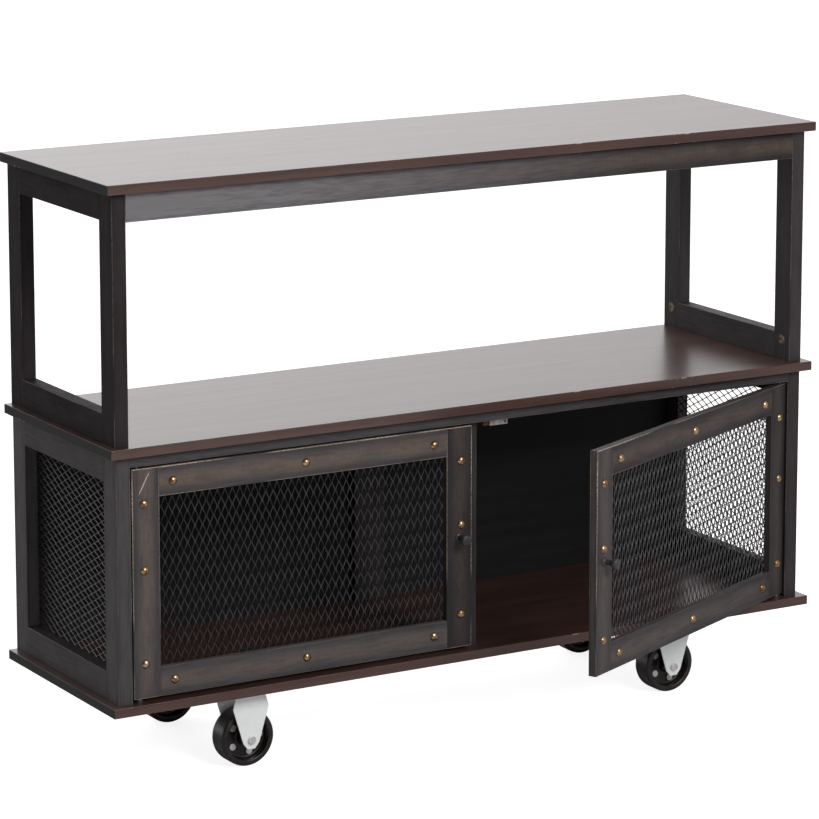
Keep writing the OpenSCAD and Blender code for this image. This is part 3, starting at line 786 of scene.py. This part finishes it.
add_piece("catch_steel_cases", cases, catch_steel, "carcass", "bright_steel", "magnetic_catches")
add_piece("catch_brown_caps", caps, moulding, "carcass", "bright_steel")
add_piece("catch_black_poles", poles, knob_black, "carcass", "bright_steel")

cam_brass = plating("dull brassed steel", (0.24, 0.19, 0.13), (0.08, 0.06, 0.045), 120, 0.38, 0.9)
add_eased("cam_locks", "brassed_cam_locks", PLATE_EASE, cam_brass, "carcass", "brassed_steel")


# CASTERS
# Four fixed casters: a pressed steel fork with a screw plate, zinc plated; a hard black
# wheel with a recessed web, five bolts through it, and an axle bolt and nut.

FORK_EASE = 0.0006
SCREW_EASE = 0.0005
RUBBER_DARK = (0.0055, 0.0042, 0.0040, 1)
RUBBER_DUSTY = (0.019, 0.0135, 0.0120, 1)
RUBBER_SCUFFED = (0.055, 0.047, 0.043, 1)
bolt_steel = plating("bright steel bolts", (0.78, 0.74, 0.74), (0.50, 0.46, 0.46), 130, 0.34, 0.6,
                     metallic=0.6)
# half of the wheel's section, from its bore to the middle of its tread: radius and distance
# from the middle plane, in millimetres
WHEEL_OUTLINE = ((4.1, 23.5), (10.8, 23.5), (11.7, 23.0), (12.0, 22.0), (12.2, 6.6), (12.8, 5.0),
                 (14.2, 4.1), (16.0, 4.0), (30.2, 4.0), (31.6, 4.4), (32.6, 5.6), (33.0, 7.4),
                 (33.3, 15.9), (33.9, 17.0), (35.0, 17.5), (38.1, 17.5), (40.1, 17.0), (41.5, 15.9),
                 (42.2, 14.4), (42.4, 12.5), (42.5, 7.0))


def moulded_rubber():
    """Hard black rubber: mould sheen, brown dust in the web, scuffs round the tread."""
    tree, given, out = shared_effect("hard black rubber", {"Place": "Vector"}, FINISH)
    place = given["Place"]
    dust = speckle(tree, place, (60, 60, 60), detail=5, roughness=0.65)
    scuffs = speckle(tree, place, (500, 120, 500), detail=3)
    dark = blended(tree, between(tree, dust, 0.35, 0.68), RUBBER_DARK, RUBBER_DUSTY)
    tree.links.new(blended(tree, between(tree, scuffs, 0.60, 0.72, 0, 0.4), dark, RUBBER_SCUFFED),
                   out["Colour"])
    tree.links.new(between(tree, dust, 0.3, 0.7, 0.26, 0.46), out["Roughness"])
    tree.links.new(reckon(tree, "ADD", dust, scuffs), out["Height"])
    return tree


rubber = finish_material("hard black rubber", moulded_rubber(), {"Place": "Object"}, bump=0.00005)

for end in ("front", "rear"):
    for side in ("left", "right"):
        corner = f"{end}_{side}"
        add_eased(corner + "_fork", corner + "_pressed_fork", FORK_EASE, zinc, "carcass",
                  "zinc_plate", over=LONGEST_SMALL_EDGE)
        low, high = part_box(corner + "_wheel")
        scale = (high.z - low.z) / 2 / WHEEL_OUTLINE[-1][0]
        profile = [(radius * scale, depth * scale) for radius, depth in WHEEL_OUTLINE]
        profile += [(radius, -depth) for radius, depth in reversed(profile)]
        wheel = lathe(profile + profile[:1], steps=72)
        bmesh.ops.transform(wheel, verts=wheel.verts, matrix=Matrix.Translation((low + high) / 2))
        add_piece(corner + "_moulded_wheel", wheel, rubber, corner + "_wheel", "black_wheels",
                  corner + "_wheel")
        add_eased(corner + "_wheel_bolts", corner + "_web_bolts", FORK_EASE, bolt_steel,
                  corner + "_wheel", "zinc_plate")
add_eased("caster_axles", "axle_bolts", FORK_EASE, bolt_steel, "carcass", "zinc_plate")
add_eased("caster_screws", "plate_screws", SCREW_EASE, zinc, "carcass", "zinc_plate")


# FLOOR, LIGHT AND CAMERA
# A pale seamless floor in a white room that is brighter behind the stand than before it.

FLOOR_HALF = 40
FLOOR_GREY = (0.62, 0.62, 0.62, 1)
FLOOR_GLOW = 0.85

floor_mesh = bmesh.new()
bmesh.ops.create_grid(floor_mesh, x_segments=1, y_segments=1, size=FLOOR_HALF)
floor_data = bpy.data.meshes.new("floor")
floor_mesh.to_mesh(floor_data)
floor_mesh.free()
floor = new_object("floor", floor_data)
pale = bpy.data.materials.new("pale floor")
pale.use_nodes = True
surface = pale.node_tree.nodes["Principled BSDF"]
surface.inputs["Base Color"].default_value = FLOOR_GREY
surface.inputs["Roughness"].default_value = 0.95
surface.inputs["Emission Color"].default_value = (1, 1, 1, 1)
in_view = wire(pale.node_tree, "ShaderNodeLightPath")["Is Camera Ray"]
pale.node_tree.links.new(reckon(pale.node_tree, "MULTIPLY", in_view, FLOOR_GLOW),
                         surface.inputs["Emission Strength"])
floor_data.materials.append(pale)

room = bpy.data.worlds.new("white room")
bpy.context.scene.world = room
room.use_nodes = True
tree = room.node_tree
glow = tree.nodes["Background"]
heading = parts_of(tree, wire(tree, "ShaderNodeTexCoord")["Generated"])
behind = between(tree, reckon(tree, "ADD", reckon(tree, "MULTIPLY", heading[0], -0.25),
                              reckon(tree, "MULTIPLY", heading[1], 0.97)), 0.2, 1.0, 0, 1.5)
shade = reckon(tree, "ADD", behind, between(tree, heading[0], -0.9, 0.6, 0.09, 0.45))
seen = wire(tree, "ShaderNodeLightPath")["Is Camera Ray"]
tree.links.new(between(tree, seen, 0, 1, shade, 1.0), glow.inputs["Strength"])
glow.inputs["Color"].default_value = (1, 0.985, 0.995, 1)


def face(thing, place, look):
    """Puts a lamp or the camera at its place and turns it to look one way."""
    thing.location = place
    thing.rotation_mode = "QUATERNION"
    thing.rotation_quaternion = look.to_track_quat("-Z", "Y")


SOFTBOX_PLACE = Vector((0.3, -3.6, 2.7))
SOFTBOX_AIM = Vector((0, 0, 0.4))
softbox = bpy.data.lights.new("front softbox", "AREA")
softbox.shape = "SQUARE"
softbox.size = 1.6
softbox.energy = 105
face(new_object("front softbox", softbox), SOFTBOX_PLACE, SOFTBOX_AIM - SOFTBOX_PLACE)

CAMERA_PLACE = (-2.8940, -4.9003, 1.7328)
yaw, pitch = 0.5315, 0.1787
look = Vector((math.sin(yaw) * math.cos(pitch), math.cos(yaw) * math.cos(pitch),
               -math.sin(pitch)))
camera_data = bpy.data.cameras.new("camera")
camera = new_object("camera", camera_data)
bpy.context.scene.camera = camera
face(camera, CAMERA_PLACE, look)
camera_data.sensor_width = 36
camera_data.lens = 170.11
camera_data.shift_x, camera_data.shift_y = -0.0016, -0.1951
camera_data.clip_start, camera_data.clip_end = 0.1, 200
bpy.context.scene.view_settings.view_transform = "Standard"
